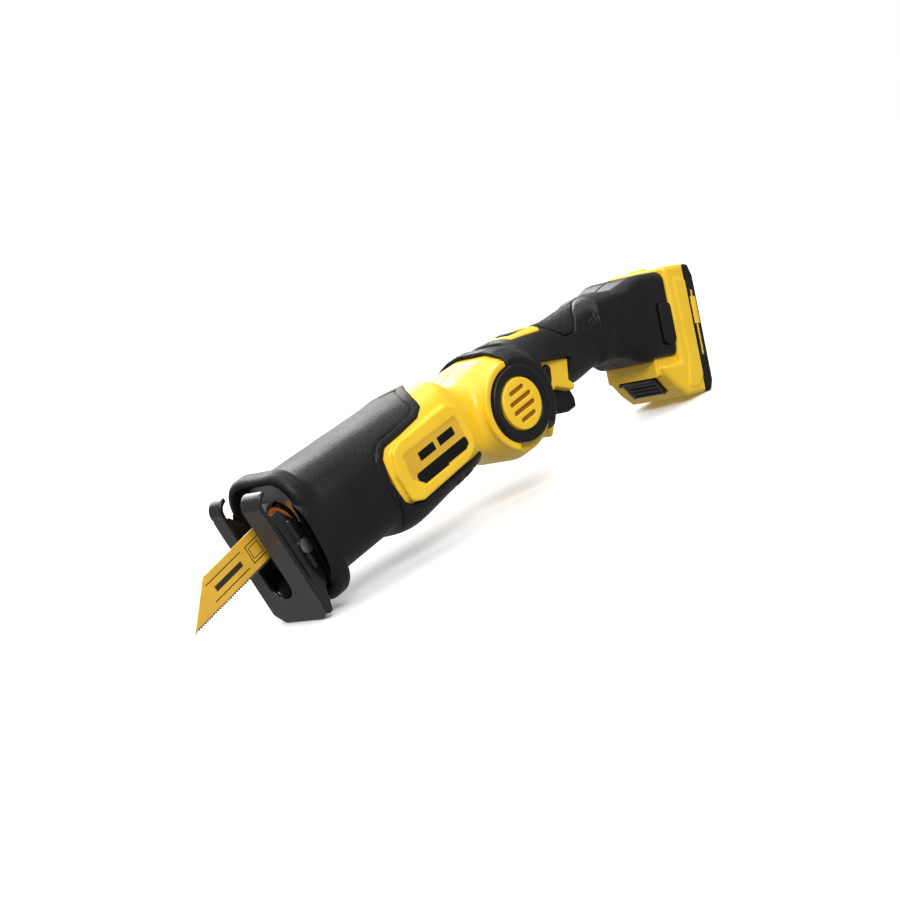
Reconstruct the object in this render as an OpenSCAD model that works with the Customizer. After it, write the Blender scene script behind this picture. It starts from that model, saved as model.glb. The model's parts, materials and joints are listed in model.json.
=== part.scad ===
/* [Stance] */
// Angle between the motor axis and the ground when the saw stands on its shoe and battery, degrees
rest_tilt = 7.7; // [7.7]
// How far the handle pivot stands behind the middle of the whole saw
pivot_x = 29.31; // [29.31]
// Height of the handle pivot above the ground
pivot_height = 50.67; // [50.67]

/* [Neck and gearcase] */
// Width of the rubber neck
neck_w = 56; // [54:1:60]
// Height of the rubber neck
neck_h = 52.5; // [52:0.5:56]
// Height of the neck's middle above the handle pivot
neck_z = 17.25; // [17.25]
// Height of the nose flange
flange_h = 73; // [70:1:76]
// Wall of the rubber boot
boot_wall = 3; // [2.5:0.5:3]

/* [Housing] */
// Width of the motor housing
housing_w = 60; // [58:1:62]
// Height of the motor housing
housing_h = 52; // [50:1:54]
// Wall of the moulded housings
shell_wall = 2.5; // [2:0.5:2.5]
// Radius of the round barrel that the handle turns on
barrel_r = 29.5; // [29:0.5:29.5]
// Radius of the trunnions in the handle's ears
trunnion_r = 14.9; // [14.9]

/* [Drive] */
// Length of the blade's stroke
stroke = 14.3; // [10:0.1:14.3]
// Slope of the plunger and blade below the motor axis, degrees
blade_drop = 5.9; // [4:0.1:6]
// Teeth on the motor pinion
pinion_teeth = 8; // [8]
// Teeth on the crank gear
gear_teeth = 40; // [40]
// Radius of the plunger rod
plunger_r = 4; // [4]
// Height of the motor axis above the handle pivot
motor_z = 7.5; // [7.5]

/* [Blade and shoe] */
// Length of the blade, tip to tang
blade_len = 96; // [90:1:96]
// Height of the blade
blade_h = 19; // [19]
// Thickness of the blade
blade_t = 0.9; // [0.9]
// Number of teeth on the blade
blade_teeth = 40; // [30:1:44]
// Thickness of the shoe's steel
shoe_t = 2.5; // [2:0.5:3]

/* [Handle] */
// Slope of the battery below the motor axis, degrees
handle_drop = 20.4; // [20.4]
// Radial gap between the trunnions and the handle's ears
pivot_gap = 0.1; // [0.05:0.05:0.1]
// Width of the trigger
trigger_w = 16; // [14:1:16]

/* [Battery] */
// Width of the battery
battery_w = 49; // [47:1:50]
// Radius of one battery cell
cell_r = 9.2; // [9.2]
// Length of one battery cell
cell_len = 49; // [49]

/* [Hidden] */
$fn = 64;
BIG = 200;

// Places along the motor axis, measured from the handle pivot
nose_x = -160;
case_front = -150;
case_step = -104;
case_rear = -84;
housing_front = -101;
housing_rear = -36;
housing_z = 11;
// The barrel is straight in the middle and tapers to its flat ends: [radius, reach] steps
barrel_half = 27.5;
barrel_end_r = 25.8;
barrel_steps = [[barrel_end_r, barrel_half], [barrel_r, 17]];
barrel_hollow_steps = [[23.6, barrel_half - shell_wall], [barrel_r - shell_wall, 15.5]];
flange_z = 12.5;
can_front = -83;
can_rear = -36;
// The plunger's own frame starts on its axis, at the shoe
shoe_x = -172.7;
shoe_z = 18.5;
// Crank and plunger, measured along the plunger
crank_x = -104;
crank_r = stroke / 2;
crank_s = (crank_x - shoe_x) / cos(blade_drop);
roller_r = 4;
roller_gap = 1.9;
tang_end = 36.1;
blade_tip = tang_end - blade_len;
clamp_s0 = 18;
clamp_s1 = 38;
clamp_r = 6.5;
yoke_s = crank_s + crank_r;
yoke_half = roller_r + roller_gap;
// The pinion runs under the crank gear's face
gear_tip_z = motor_z + 2.5;
gear_face_z = motor_z + 4;
gear_top_z = motor_z + 7.5;
axle_r = 4;
running = 0.05;
// Shoe pivot
shoe_pin_x = -162.7;
shoe_pin_z = 10.7;
shoe_pin_r = 2.5;
shoe_half_w = 21;
// Handle
shroud_r = 34.5;
shroud_in = 30.2;
web_r = 26;
ear_in = 27.8;
shroud_steps = [[web_r, 31.5], [29.5, 28], [32.6, 22], [shroud_r, 14]];
shroud_bore_steps = [[web_r + 0.3, ear_in], [shroud_in, 17.2]];
ear_out = 33;
ear_r = 21;
sweep_from = -52;
sweep_to = 82;
foot_front = 119;
foot_rear = 150;
foot_top = 58;
foot_low = 7;
// Battery, measured along and across the sliding direction
pack_rear = 164;
cap_p = 158;
stem_front = 96;
stem_half_w = 12;
cell_low = 4.2;
cell_places = [[133.8, 0], [150.2, 9.6], [150.2, -9.6]];
screw_r = 1.5;
head_r = 3;
head_h = 2.4;
housing_screw_at = [[-70, 32.5], [-40, 32.5], [-92, -12], [-22, -12], [16, 12]];
handle_screw_at = [[70, 13], [41, 14], [88, -14.5]];

// ---- frames ----

// Stands the saw on the ground, on its shoe and battery
module stand() translate([pivot_x, 0, pivot_height]) rotate([0, -rest_tilt, 0]) children();
// X runs back along the plunger, Z across it
module in_plunger() translate([shoe_x, 0, shoe_z]) rotate([0, -blade_drop, 0]) children();
// X runs back along the battery's sliding direction, Z up across it
module in_pack() rotate([0, handle_drop, 0]) children();
// Middle of the sliding lock on the handle's top
module in_slider() translate([44, 0, 23.9]) rotate([0, 14, 0]) children();

// ---- shapes ----

// Block between two corners
module block(low, high) translate(low) cube(high - low);
// Rectangle with round corners
module rounded(w, h, r) {
    square([w - 2 * r, h], center = true);
    square([w, h - 2 * r], center = true);
    for (x = [-1, 1], y = [-1, 1]) translate([x * (w / 2 - r), y * (h / 2 - r)]) circle(r);
}
// Bar along X with a rounded section centred on y = 0
module x_bar(x0, x1, z, w, h, r)
    translate([x0, 0, z]) rotate([90, 0, 90]) linear_extrude(x1 - x0) rounded(w, h, r);
// Rod along X
module x_rod(x0, x1, z, r) translate([x0, 0, z]) rotate([0, 90, 0]) cylinder(h = x1 - x0, r = r);
// Rod along Y
module y_rod(x, z, r, y0, y1) translate([x, y0, z]) rotate([-90, 0, 0]) cylinder(h = y1 - y0, r = r);
// Drum across the saw from [radius, reach] steps, end first, the same on both sides
module drum(steps) rotate([-90, 0, 0]) rotate_extrude() polygon(concat(
    [[0, -steps[0][1]]], [for (at = steps) [at[0], -at[1]]],
    [for (i = [len(steps) - 1:-1:0]) steps[i]], [[0, steps[0][1]]]));
// Side outline drawn in X and Z, given a width along Y
module slab(y0, y1) translate([0, y1, 0]) rotate([90, 0, 0]) linear_extrude(y1 - y0) children();
// Both sides of the saw
module both_sides() {
    children();
    mirror([0, 1, 0]) children();
}
// Oval section used to shape the handle, standing across X
module oval(x, low, high, w)
    translate([x, 0, (low + high) / 2]) rotate([0, 90, 0]) scale([(high - low) / 2, w / 2, 1])
        cylinder(h = 1, r = 1, $fn = 32);
// Keeps one half: side -1 is the left, 1 is the right
module half(side) intersection() {
    children();
    translate([-BIG, side < 0 ? -BIG : 0, -BIG]) cube([3 * BIG, BIG, 2 * BIG]);
}
// Screws along Y with their heads on the right
module screws(places, y_end, y_head, head_depth) for (at = places) {
    y_rod(at[0], at[1], screw_r, y_end, y_head);
    y_rod(at[0], at[1], head_r, y_head, y_head + head_depth);
}
// Round wire wound along Z: each ring of the wire is one step along the coil
module coil(r, wire, pitch, turns) {
    steps = 14;
    sides = 6;
    n = round(steps * turns);
    function ring(i) = [for (k = [0:sides - 1])
        let (a = 360 * i / steps, b = 360 * k / sides, d = r + wire * cos(b))
        [d * cos(a), d * sin(a), pitch * i / steps + wire * sin(b)]];
    points = [for (i = [0:n]) each ring(i)];
    walls = [for (i = [0:n - 1], k = [0:sides - 1]) let (k2 = (k + 1) % sides)
        [i * sides + k, (i + 1) * sides + k, (i + 1) * sides + k2, i * sides + k2]];
    polyhedron(points, concat(walls, [[for (k = [0:sides - 1]) k]],
        [[for (k = [sides - 1:-1:0]) n * sides + k]]), convexity = 4);
}

// ---- motor housing ----

module housing_outer() {
    x_bar(housing_front, housing_rear, housing_z, housing_w, housing_h, 17);
    x_bar(housing_rear - 1, -10, 5.5, 54, 43, 10);
    drum(barrel_steps);
    y_rod(0, 0, trunnion_r, -31, 31);
    both_sides() slab(barrel_half - 0.5, 31) intersection() {
        difference() {
            circle(barrel_end_r - 0.3);
            circle(ear_r + 0.4);
        }
        hub_wedge(sweep_to + 2, 236);
    }
}
module housing_bosses() for (at = housing_screw_at) y_rod(at[0], at[1], 3.6, -29, 29);
module motor_ribs() for (x = [-78, -46]) block([x, -30, -20], [x + 3, 30, 40]);
module housing_hollow() difference() {
    union() {
        x_bar(housing_front + shell_wall, housing_rear - shell_wall, housing_z,
            housing_w - 2 * shell_wall, housing_h - 2 * shell_wall, 14.5);
        x_bar(housing_rear - 4, -10, 5.5, 49, 38, 8);
        drum(barrel_hollow_steps);
    }
    housing_bosses();
    motor_ribs();
}
module housing() difference() {
    housing_outer();
    housing_hollow();
    x_rod(can_front - 1, can_rear, motor_z, 17.5);
    y_rod(0, 0, 11, -40, 40);
    gearcase_outer();
    detent_band(5.1, barrel_r + 2);
    housing_screw_holes();
}
// Screw holes with a deep recess over each head
module housing_screw_holes() screws(housing_screw_at, -14, 21, 20);
// Part of a ring let into the barrel's rear, half_w wide each side
module detent_band(half_w, r) slab(-half_w, half_w) intersection() {
    difference() {
        circle(r);
        circle(barrel_r - 2);
    }
    hub_wedge(-36, 68);
}
module left_housing() color("gold") half(-1) housing();
module right_housing() color("gold") half(1) housing();

module housing_screws() color("dimgray") screws(housing_screw_at, -14, 21, head_h);

// Steel band let into the barrel, with a notch for each handle position
module detent_ring() color("silver") difference() {
    detent_band(5, barrel_r - 0.1);
    for (step = [0:2]) rotate([0, step * 35 - 49, 0])
        block([barrel_r - 1.2, -6, -2.5], [barrel_r + 2, 6, 2.5]);
}

// Round air grilles in the ends of the trunnions
module hub_vents() color("gold") both_sides() slab(31, 32.6) difference() {
    circle(14.2);
    for (i = [-1.5:1]) translate([0, i * 5.6]) rounded(abs(i) > 1 ? 11 : 17, 2.6, 1.2);
}

module belly_pad() color("#202020") difference() {
    x_bar(-98.9, -34, -12, 46, 16, 7.5);
    housing_outer();
    for (i = [0:2]) translate([-58 + 8 * i, 0, -20]) rotate([0, 25, 0])
        block([-1.4, -30, -3], [1.4, 30, 2.4]);
    housing_screw_holes();
}

// ---- gearcase ----

module gearcase_outer() {
    x_bar(case_front, case_step, neck_z, neck_w - 2 * boot_wall, neck_h - 2 * boot_wall, 13);
    x_bar(case_step, case_rear, 13, 48, 42, 10);
}
module gearcase() color("gainsboro") difference() {
    gearcase_outer();
    block([-121, -20, -2], [-87, 20, 31.5]);
    in_plunger() x_rod(-10, clamp_s1 + 1, 0, 10.5);
    in_plunger() x_rod(clamp_s1, 56, 0, 7);
    x_rod(-88, case_rear + 1, motor_z, 4.2);
    translate([crank_x, 0, -5]) cylinder(h = 5, r = axle_r);
    gearcase_screw_set();
}
module gearcase_screw_set() for (y = [-1, 1], z = [0, 35]) translate([0, y * 19, z]) {
    x_rod(case_front + 0.5, -128, 0, screw_r);
    x_rod(case_front, case_front + 2.2, 0, 2.6);
}
module gearcase_screws() color("dimgray") gearcase_screw_set();

module gearcase_boot() color("#202020") difference() {
    union() {
        x_bar(case_front - 2, housing_front + 2, neck_z, neck_w, neck_h, 16);
        x_bar(nose_x, case_front + 2, flange_z, neck_w, flange_h, 18);
        intersection() {
            x_bar(case_step, -45, 12, housing_w + 0.6, 57.5, 18);
            block([-120, -40, 26], [0, 40, 60]);
        }
    }
    gearcase_outer();
    housing_outer();
    x_bar(nose_x - 1, case_front, flange_z, 47, 65, 14);
    housing_screw_holes();
}

module crank_axle() color("silver") translate([crank_x, 0, -5]) cylinder(h = gear_top_z + 5.4, r = axle_r);

// ---- motor ----

module motor_can() color("silver") difference() {
    x_rod(can_front, can_rear, motor_z, 17.5);
    x_rod(can_front + 2, can_rear + 1, motor_z, 16);
    x_rod(can_front - 1, can_front + 3, motor_z, 4.5);
}
module motor_magnets() color("dimgray") difference() {
    x_rod(-78, -49, motor_z, 16);
    x_rod(-79, -48, motor_z, 13.2);
    block([-80, -18, motor_z - 5], [-47, 18, motor_z + 5]);
}
module motor_end_cap() color("#303030") difference() {
    x_rod(-41, can_rear, motor_z, 16);
    x_rod(-42, -39.5, motor_z, 11.5);
    x_rod(-42, -37, motor_z, 4);
    x_rod(-42, -30, motor_z, 2.4);
}
module motor_brushes() color("#404040") both_sides() {
    block([-44, 5.2, motor_z - 2], [-41.5, 11, motor_z + 2]);
    block([-44, 8, motor_z - 3], [-41.2, 10.9, motor_z + 3]);
}
module motor_bearings() color("silver") {
    difference() {
        x_rod(can_front, can_front + 2.5, motor_z, 4.5);
        x_rod(can_front - 1, can_front + 4, motor_z, 1.6 + running);
    }
    difference() {
        x_rod(-40, -37, motor_z, 4);
        x_rod(-41, -36, motor_z, 1.6 + running);
    }
}
// The pinion is cut on the front end of the motor shaft
module rotor_shaft() color("silver") {
    x_rod(-93, -24, motor_z, 1.6);
    x_rod(-90, -87.6, motor_z, 2.1);
    for (i = [0:pinion_teeth - 1]) translate([0, 0, motor_z]) rotate([i * 360 / pinion_teeth, 0, 0])
        block([-90, -0.35, 0], [-87.6, 0.35, 3.6]);
}
module armature() color("peru") difference() {
    union() {
        x_rod(-76, -50, motor_z, 12.4);
        x_rod(-79, -47.5, motor_z, 9.5);
    }
    x_rod(-80, -46, motor_z, 1.6);
    for (i = [0:4]) translate([0, 0, motor_z]) rotate([i * 72, 0, 0])
        block([-77, -1.2, 10], [-49, 1.2, 14]);
}
module commutator() color("darkgoldenrod") difference() {
    x_rod(-46.5, -41, motor_z, 5);
    x_rod(-48, -40, motor_z, 1.6);
}
module cooling_fan() color("#303030") difference() {
    union() {
        x_rod(-33, -31.5, motor_z, 15);
        x_rod(-33, -27, motor_z, 4);
        for (i = [0:8]) translate([0, 0, motor_z]) rotate([i * 40, 0, 0])
            block([-31.6, -0.6, 3.5], [-27.5, 0.6, 14.5]);
    }
    x_rod(-34, -26, motor_z, 1.6);
}

// ---- crank and plunger ----

module crank_gear() color("gray") translate([crank_x, 0, 0]) difference() {
    union() {
        translate([0, 0, gear_face_z]) cylinder(h = gear_top_z - gear_face_z, r = 16.5);
        translate([0, 0, 4]) cylinder(h = 8, r = 7);
        translate([crank_r, 0, gear_top_z - 1]) cylinder(h = 14.5, r = 2.45);
        for (i = [0:gear_teeth - 1]) rotate((i + 0.5) * 360 / gear_teeth)
            block([14, -0.4, gear_tip_z], [16.4, 0.4, gear_face_z + 0.5]);
    }
    cylinder(h = 40, r = axle_r + running);
}
module crank_roller() color("silver") translate([crank_x + crank_r, 0, 0]) difference() {
    translate([0, 0, gear_top_z + 1]) cylinder(h = 12, r = roller_r);
    cylinder(h = 40, r = 2.45);
}
module plunger() color("silver") in_plunger() difference() {
    union() {
        x_rod(clamp_s1, yoke_s - yoke_half - 1, 0, plunger_r);
        block([yoke_s - yoke_half - 3, -14.5, -3.5], [yoke_s + yoke_half + 3, 14.5, 3.5]);
    }
    block([yoke_s - yoke_half, -11.8, -5], [yoke_s + yoke_half, 11.8, 5]);
}
module plunger_bushing() color("darkgoldenrod") in_plunger() difference() {
    x_rod(clamp_s1 + 3, clamp_s1 + 14.5, 0, 7);
    x_rod(clamp_s1, clamp_s1 + 20, 0, plunger_r + running);
}
module plunger_seal() color("#202020") in_plunger() difference() {
    x_rod(clamp_s1 + 1, clamp_s1 + 3, 0, 7);
    x_rod(clamp_s1, clamp_s1 + 4, 0, plunger_r + running);
}
module clamp_body() color("gray") in_plunger() difference() {
    x_rod(clamp_s0, clamp_s1, 0, clamp_r);
    block([clamp_s0 - 1, -0.6, -5.1], [clamp_s1 - 1.5, 0.6, 5.1]);
    y_rod(28, 0, 1.5, -7, 7);
}
module clamp_pin() color("silver") in_plunger() y_rod(28, 0, 1.5, -6, 6);
module clamp_collar() color("darkorange") in_plunger() difference() {
    union() {
        x_rod(clamp_s0 + 1, 33, 0, 8.4);
        x_rod(clamp_s0 + 1, clamp_s0 + 5, 0, 9.4);
        for (i = [0:11]) rotate([i * 30, 0, 0]) block([clamp_s0 + 1, -0.8, 7.5], [33, 0.8, 9.1]);
    }
    x_rod(clamp_s0 - 1, 34, 0, clamp_r + running);
}
module clamp_spring() color("silver") in_plunger() translate([33.7, 0, 0]) rotate([0, 90, 0])
    coil(7.4, 0.5, 1.3, 2.6);
// Blade with its teeth down, a slanted nose and a narrow tang
module blade() color("gold") in_plunger() slab(-blade_t / 2, blade_t / 2) difference() {
    pitch = (8 - blade_tip) / blade_teeth;
    polygon(concat(
        [[12, blade_h / 2], [blade_tip + 22, blade_h / 2], [blade_tip, -blade_h / 2]],
        [for (i = [1:blade_teeth - 1], step = [0, 1])
            [blade_tip + (i + (step == 0 ? 0.35 : 1)) * pitch, -blade_h / 2 + (step == 0 ? 1.1 : 0)]],
        [[16.5, -5], [tang_end, -5], [tang_end, 5], [16.5, 5]]));
    translate([28, 0]) circle(1.6);
}

// ---- shoe ----

module shoe_bracket() color("silver") difference() {
    union() {
        block([case_front - 2.5, -17.7, -4], [case_front, 17.7, 32]);
        both_sides() block([-167, 15.2, 5.2], [case_front - 1, 17.7, 16.2]);
    }
    in_plunger() x_rod(-10, 60, 0, 11.5);
    y_rod(shoe_pin_x, shoe_pin_z, shoe_pin_r, -30, 30);
}
module shoe_pins() color("silver") both_sides() {
    y_rod(shoe_pin_x, shoe_pin_z, shoe_pin_r, 14, 21.6);
    y_rod(shoe_pin_x, shoe_pin_z, 4, 21.3, 22.5);
}
// Front plate of the shoe seen from the front: open at the top, with a wide right prong
module shoe_front() difference() {
    translate([0, 6]) rounded(2 * shoe_half_w, 68, 4);
    translate([2.5, 30]) square([17, 70], center = true);
    translate([2.5, -5]) circle(8.5);
    for (y = [-1, 1]) translate([y * 22, -30]) rotate(45) square(12, center = true);
}
module shoe() color("#181818") difference() {
    in_shoe() {
        translate([-shoe_t, 0, 0]) rotate([90, 0, 90]) linear_extrude(shoe_t) shoe_front();
        both_sides() slab(shoe_half_w - shoe_t, shoe_half_w)
            polygon([[-1, -26], [2, -26], [6, -15], [14, -6], [16, 18], [6, 34], [-1, 34]]);
        shoe_tips();
    }
    y_rod(shoe_pin_x, shoe_pin_z, shoe_pin_r + running, -30, 30);
}
// Rolled-back ends of the two prongs
module shoe_tips() difference() {
    y_rod(5, 39, 7.4, -shoe_half_w, shoe_half_w);
    y_rod(5, 39, 5, -BIG, BIG);
    block([-3, -30, 30], [20, 30, 39]);
    block([4.5, -30, 30], [20, 30, 60]);
    block([-10, -6, 20], [20, 11, 60]);
}
// The shoe's own frame: X back from its front face
module in_shoe() translate([-170.7, 0, 0]) rotate([0, -blade_drop, 0]) children();

// ---- handle ----

// Slice of the hub seen from the side, from the handle's underside up to its top
module hub_wedge(low, high) polygon([[0, 0], for (k = [0:6])
    let (a = low + (high - low) * k / 6) 60 * [cos(a), sin(a)]]);
module switch_outline() difference() {
    union() {
        polygon([[32, 10], [39.6, 6.9], [60.6, -1.7], [54.3, -12.5], [57.2, -16.8], [54.6, -19.2],
            [42.8, -11], [38.5, -14], [32, -14]]);
        intersection() {
            circle(40.5);
            hub_wedge(-54, -10);
        }
    }
    circle(shroud_r + 0.3);
}
module handle_outer() {
    hull() { oval(28, -3, 28.6, 50); oval(61, -19, 20.5, 37); }
    hull() { oval(61, -19, 20.5, 37); oval(91, -19.5, 17.3, 35); }
    hull() { oval(91, -19.5, 17.3, 35); in_pack() oval(111, 12, 55.5, 38); }
    hull() { in_pack() oval(111, 12, 55.5, 38); in_pack() oval(118.5, foot_low, foot_top, 47); }
    in_pack() x_bar(foot_front, foot_rear, (foot_low + foot_top) / 2, 47, foot_top - foot_low, 10);
    hub_shroud();
    both_sides() y_rod(0, 0, ear_r, ear_in, ear_out);
}
// Cover over the barrel, rounded down to the ears on each side
module hub_shroud() intersection() {
    drum(shroud_steps);
    slab(-31.5, 31.5) hub_wedge(sweep_from, sweep_to);
}
module grip_core() x_bar(50, 130, -1, 30.5, 32, 14);
module pad_zone() difference() {
    block([66, -30, 3], [100, 30, 40]);
    grip_core();
}
module handle_body() difference() {
    handle_outer();
    pad_zone();
    drum(shroud_bore_steps);
    y_rod(0, 0, trunnion_r + pivot_gap, -40, 40);
    slab(-40, 40) switch_outline();
    block([36, -12.5, -12], [66, 12.5, 10.5]);
    block([43, -8.6, -40], [66.5, 8.6, 0]);
    x_bar(60, 99, -1, 22, 22, 8);
    in_pack() block([86, -12.5, 19.5], [foot_front + 4, 12.5, 45.5]);
    in_pack() block([foot_front + 3, -20.5, -1], [foot_rear + 1, 20.5, 54.5]);
    in_slider() block([-12.5, -12, -2], [12.5, 12, 20]);
    in_slider() block([-9, -6.2, -10], [9, 6.2, 0]);
    in_slider() block([-40, -3.4, -9.4], [18, 3.4, -4.6]);
    screws(handle_screw_at, -12, 9, 40);
    handle_foot_screws(30);
}
module handle_foot_screws(head_depth) in_pack() screws([[115, 50.5]], -12, 14, head_depth);
module left_handle() color("#262626") half(-1) handle_body();
module right_handle() color("#262626") half(1) handle_body();
module handle_screws() color("dimgray") {
    screws(handle_screw_at, -12, 9, head_h);
    handle_foot_screws(head_h);
}
module grip_pad() color("#303030") difference() {
    intersection() {
        handle_outer();
        pad_zone();
    }
    screws(handle_screw_at, -12, 9, 40);
}
module foot_bumpers() color("#262626") both_sides() in_pack()
    translate([134.5, 23.5, 27.5]) rotate([-90, 0, 0]) linear_extrude(1.5) rounded(10, 24, 3);

module switch_plate() color("gold") difference() {
    slab(-16, 16) switch_outline();
    block([39.5, -8.6, -40], [80, 8.6, 12]);
    lock_off_bar(2.8, 30);
}
module switch_module() color("#303030") difference() {
    block([49, -8, -5], [65, 8, 9.5]);
    block([48, -8.5, 6], [52, 8.5, 12]);
}
// Cross bar with a long rounded end on each side of the saw
module lock_off_bar(r, reach) translate([40.4, 0, -2.2]) rotate([0, 27, 0]) {
    y_rod(0, 3, r, -reach, reach);
    y_rod(0, -3, r, -reach, reach);
    block([-r, -reach, -3], [r, reach, 3]);
}
module lock_off_button() color("#181818") lock_off_bar(2.5, 17.4);
// Finger lever under the handle, hollow where its spring goes
module trigger() color("#181818") difference() {
    slab(-trigger_w / 2, trigger_w / 2) difference() {
        polygon([[46.5, -11], [58, -15], [60, -22], [60.4, -26], [58, -31], [52, -30.6], [46, -28.5],
            [41, -23], [44, -16]]);
        translate([31.6, -29.5]) circle(11.5);
    }
    trigger_spring_seat() cylinder(h = 20, r = 3.3);
}
module trigger_spring_seat() translate([50.5, 0, -19]) rotate([0, handle_drop, 0]) children();
module trigger_spring() color("silver") trigger_spring_seat() translate([0, 0, 8.6]) coil(2.3, 0.35, 1.5, 3.1);

module lock_bezel() color("gold") in_slider() difference() {
    block([-12.5, -12, -2], [12.5, 12, 1.2]);
    block([-8, -6, -3], [8, 6, 3]);
}
// Thumb slide with its pawl, which reaches the steel band on the barrel
module lock_slider() color("#181818") in_slider() {
    block([-7.6, -5.6, -5], [0.4, 5.6, 0.8]);
    for (i = [0:3]) block([-6.9 + 2 * i, -5, 0.7], [-6.1 + 2 * i, 5, 1.5]);
    block([-20.9, -3, -8.8], [0.4, 3, -4.9]);
    x_rod(0.3, 8.4, -7, 0.9);
}
module slider_spring() color("silver") in_slider() translate([7.6, 0, -7]) rotate([0, 90, 0])
    coil(1.9, 0.3, 1.5, 5.5);
module terminal_block() color("#303030") in_pack() difference() {
    block([87, -11, 21], [95, 11, 44]);
    for (y = [-7, 0, 7]) block([91, y - 0.9, 24], [96, y + 0.9, 41]);
}

// ---- battery ----

module battery_body() {
    slab(-battery_w / 2, battery_w / 2) polygon([[cap_p, 60], [foot_rear + 0.5, 60], [foot_rear + 0.5, 4.5],
        [124, 4.5], [127, -2], [134, -10], [142, -16], [cap_p, -16]]);
    block([foot_front + 3.5, -20, -2], [foot_rear + 1, 20, 54]);
    block([stem_front, -stem_half_w, 20], [foot_front + 4, stem_half_w, 45]);
}
// Middle of the toe's slanted front, with Z pointing out of it
module latch_place() translate([130.5, 0, -6]) rotate([0, -131.2, 0]) children();
module battery_housing() color("gold") in_pack() difference() {
    battery_body();
    cell_group(0.2);
    latch_place() block([-7.9, -13.3, -4.2], [7.9, 13.3, 6]);
    latch_place() translate([0, 0, -8]) cylinder(h = 5, r = 3.2);
    for (y = [-7, 0, 7]) block([stem_front - 1, y - 0.4, 25], [stem_front + 12, y + 0.4, 40]);
    battery_screw_set(0);
}
module cell_group(gap) for (at = cell_places)
    translate([at[0], at[1], cell_low - gap]) cylinder(h = cell_len + 2 * gap, r = cell_r + gap);
module battery_cells() color("royalblue") in_pack() cell_group(0);
module battery_contacts() color("darkgoldenrod") in_pack() for (y = [-7, 0, 7])
    block([stem_front - 3.5, y - 0.4, 25], [stem_front + 12, y + 0.4, 40]);
module battery_cap() color("#202020") in_pack() difference() {
    slab(-battery_w / 2, battery_w / 2) polygon([[cap_p, 60], [pack_rear - 2, 58], [pack_rear, 50],
        [pack_rear, -9], [pack_rear - 3, -14], [cap_p, -16]]);
    block([cap_p - 1, -20.5, -14], [cap_p + 2.6, 20.5, 55]);
    battery_screw_set(5);
}
module battery_screw_set(reach) for (y = [-22.2, 22.2], z = [-8, 50]) translate([0, y, z]) {
    x_rod(cap_p - 4, pack_rear - 2.5, 0, 1);
    x_rod(pack_rear - 3.4, pack_rear - 1.4 + reach, 0, 1.8);
}
module battery_screws() color("dimgray") in_pack() battery_screw_set(0);
module battery_latch() color("#181818") in_pack() latch_place() difference() {
    union() {
        block([-7.5, -13, -1.6], [7.5, 13, 1.6]);
        for (i = [0:3]) block([-6.2 + 3 * i, -11, 1.5], [-4.8 + 3 * i, 11, 2.8]);
        block([5.6, -13, 1.5], [7.5, 13, 3.4]);
    }
    translate([0, 0, -5]) cylinder(h = 5.5, r = 3.2);
}
module latch_spring() color("silver") in_pack() latch_place() translate([0, 0, -7.4]) coil(2.3, 0.35, 1.4, 4);

stand() left_housing();
stand() right_housing();
stand() gearcase();
stand() gearcase_boot();
stand() belly_pad();
stand() gearcase_screws();
stand() plunger_bushing();
stand() plunger_seal();
stand() shoe_bracket();
stand() shoe_pins();
stand() crank_axle();
stand() motor_can();
stand() motor_magnets();
stand() motor_end_cap();
stand() motor_brushes();
stand() motor_bearings();
stand() hub_vents();
stand() detent_ring();
stand() housing_screws();
stand() shoe();
stand() crank_gear();
stand() crank_roller();
stand() rotor_shaft();
stand() armature();
stand() commutator();
stand() cooling_fan();
stand() plunger();
stand() clamp_body();
stand() clamp_pin();
stand() clamp_spring();
stand() blade();
stand() clamp_collar();
stand() left_handle();
stand() right_handle();
stand() grip_pad();
stand() foot_bumpers();
stand() switch_plate();
stand() lock_bezel();
stand() switch_module();
stand() terminal_block();
stand() trigger_spring();
stand() slider_spring();
stand() handle_screws();
stand() lock_slider();
stand() trigger();
stand() lock_off_button();
stand() battery_housing();
stand() battery_cap();
stand() battery_cells();
stand() battery_contacts();
stand() battery_screws();
stand() latch_spring();
stand() battery_latch();
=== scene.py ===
import json
import math

import bpy
import numpy as np
from mathutils import Matrix, Vector


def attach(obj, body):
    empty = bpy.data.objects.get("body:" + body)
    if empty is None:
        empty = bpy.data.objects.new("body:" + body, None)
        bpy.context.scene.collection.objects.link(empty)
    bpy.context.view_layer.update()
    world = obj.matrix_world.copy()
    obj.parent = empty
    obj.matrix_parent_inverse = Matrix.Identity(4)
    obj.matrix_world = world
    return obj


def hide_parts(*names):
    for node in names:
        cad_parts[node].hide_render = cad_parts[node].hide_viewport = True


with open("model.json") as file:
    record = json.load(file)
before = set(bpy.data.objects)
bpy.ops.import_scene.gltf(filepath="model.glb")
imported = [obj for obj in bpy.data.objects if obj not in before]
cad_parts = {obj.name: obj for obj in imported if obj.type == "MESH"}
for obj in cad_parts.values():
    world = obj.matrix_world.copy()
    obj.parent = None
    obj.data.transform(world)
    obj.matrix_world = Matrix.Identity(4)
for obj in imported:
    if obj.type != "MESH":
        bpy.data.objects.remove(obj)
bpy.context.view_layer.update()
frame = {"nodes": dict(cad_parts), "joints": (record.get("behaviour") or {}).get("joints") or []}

# ---------------------------------------------------------------- frames
# Shapes are worked out in millimetres in the tool's own frame: the handle pivot is its origin,
# X runs back along the motor, Y is across the saw and Z is up.
JOINT = {j["name"]: j for j in frame["joints"]}
AX = Vector(JOINT["motor_spin"]["axis"]).normalized()
AY = Vector((0, 1, 0))
AZ = AX.cross(AY)
PIVOT = Vector(JOINT["handle_pivot"]["pos_m"])
TURN = Matrix((AX, AY, AZ)).transposed()
TO_ROW = np.array(TURN) * 0.001


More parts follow.
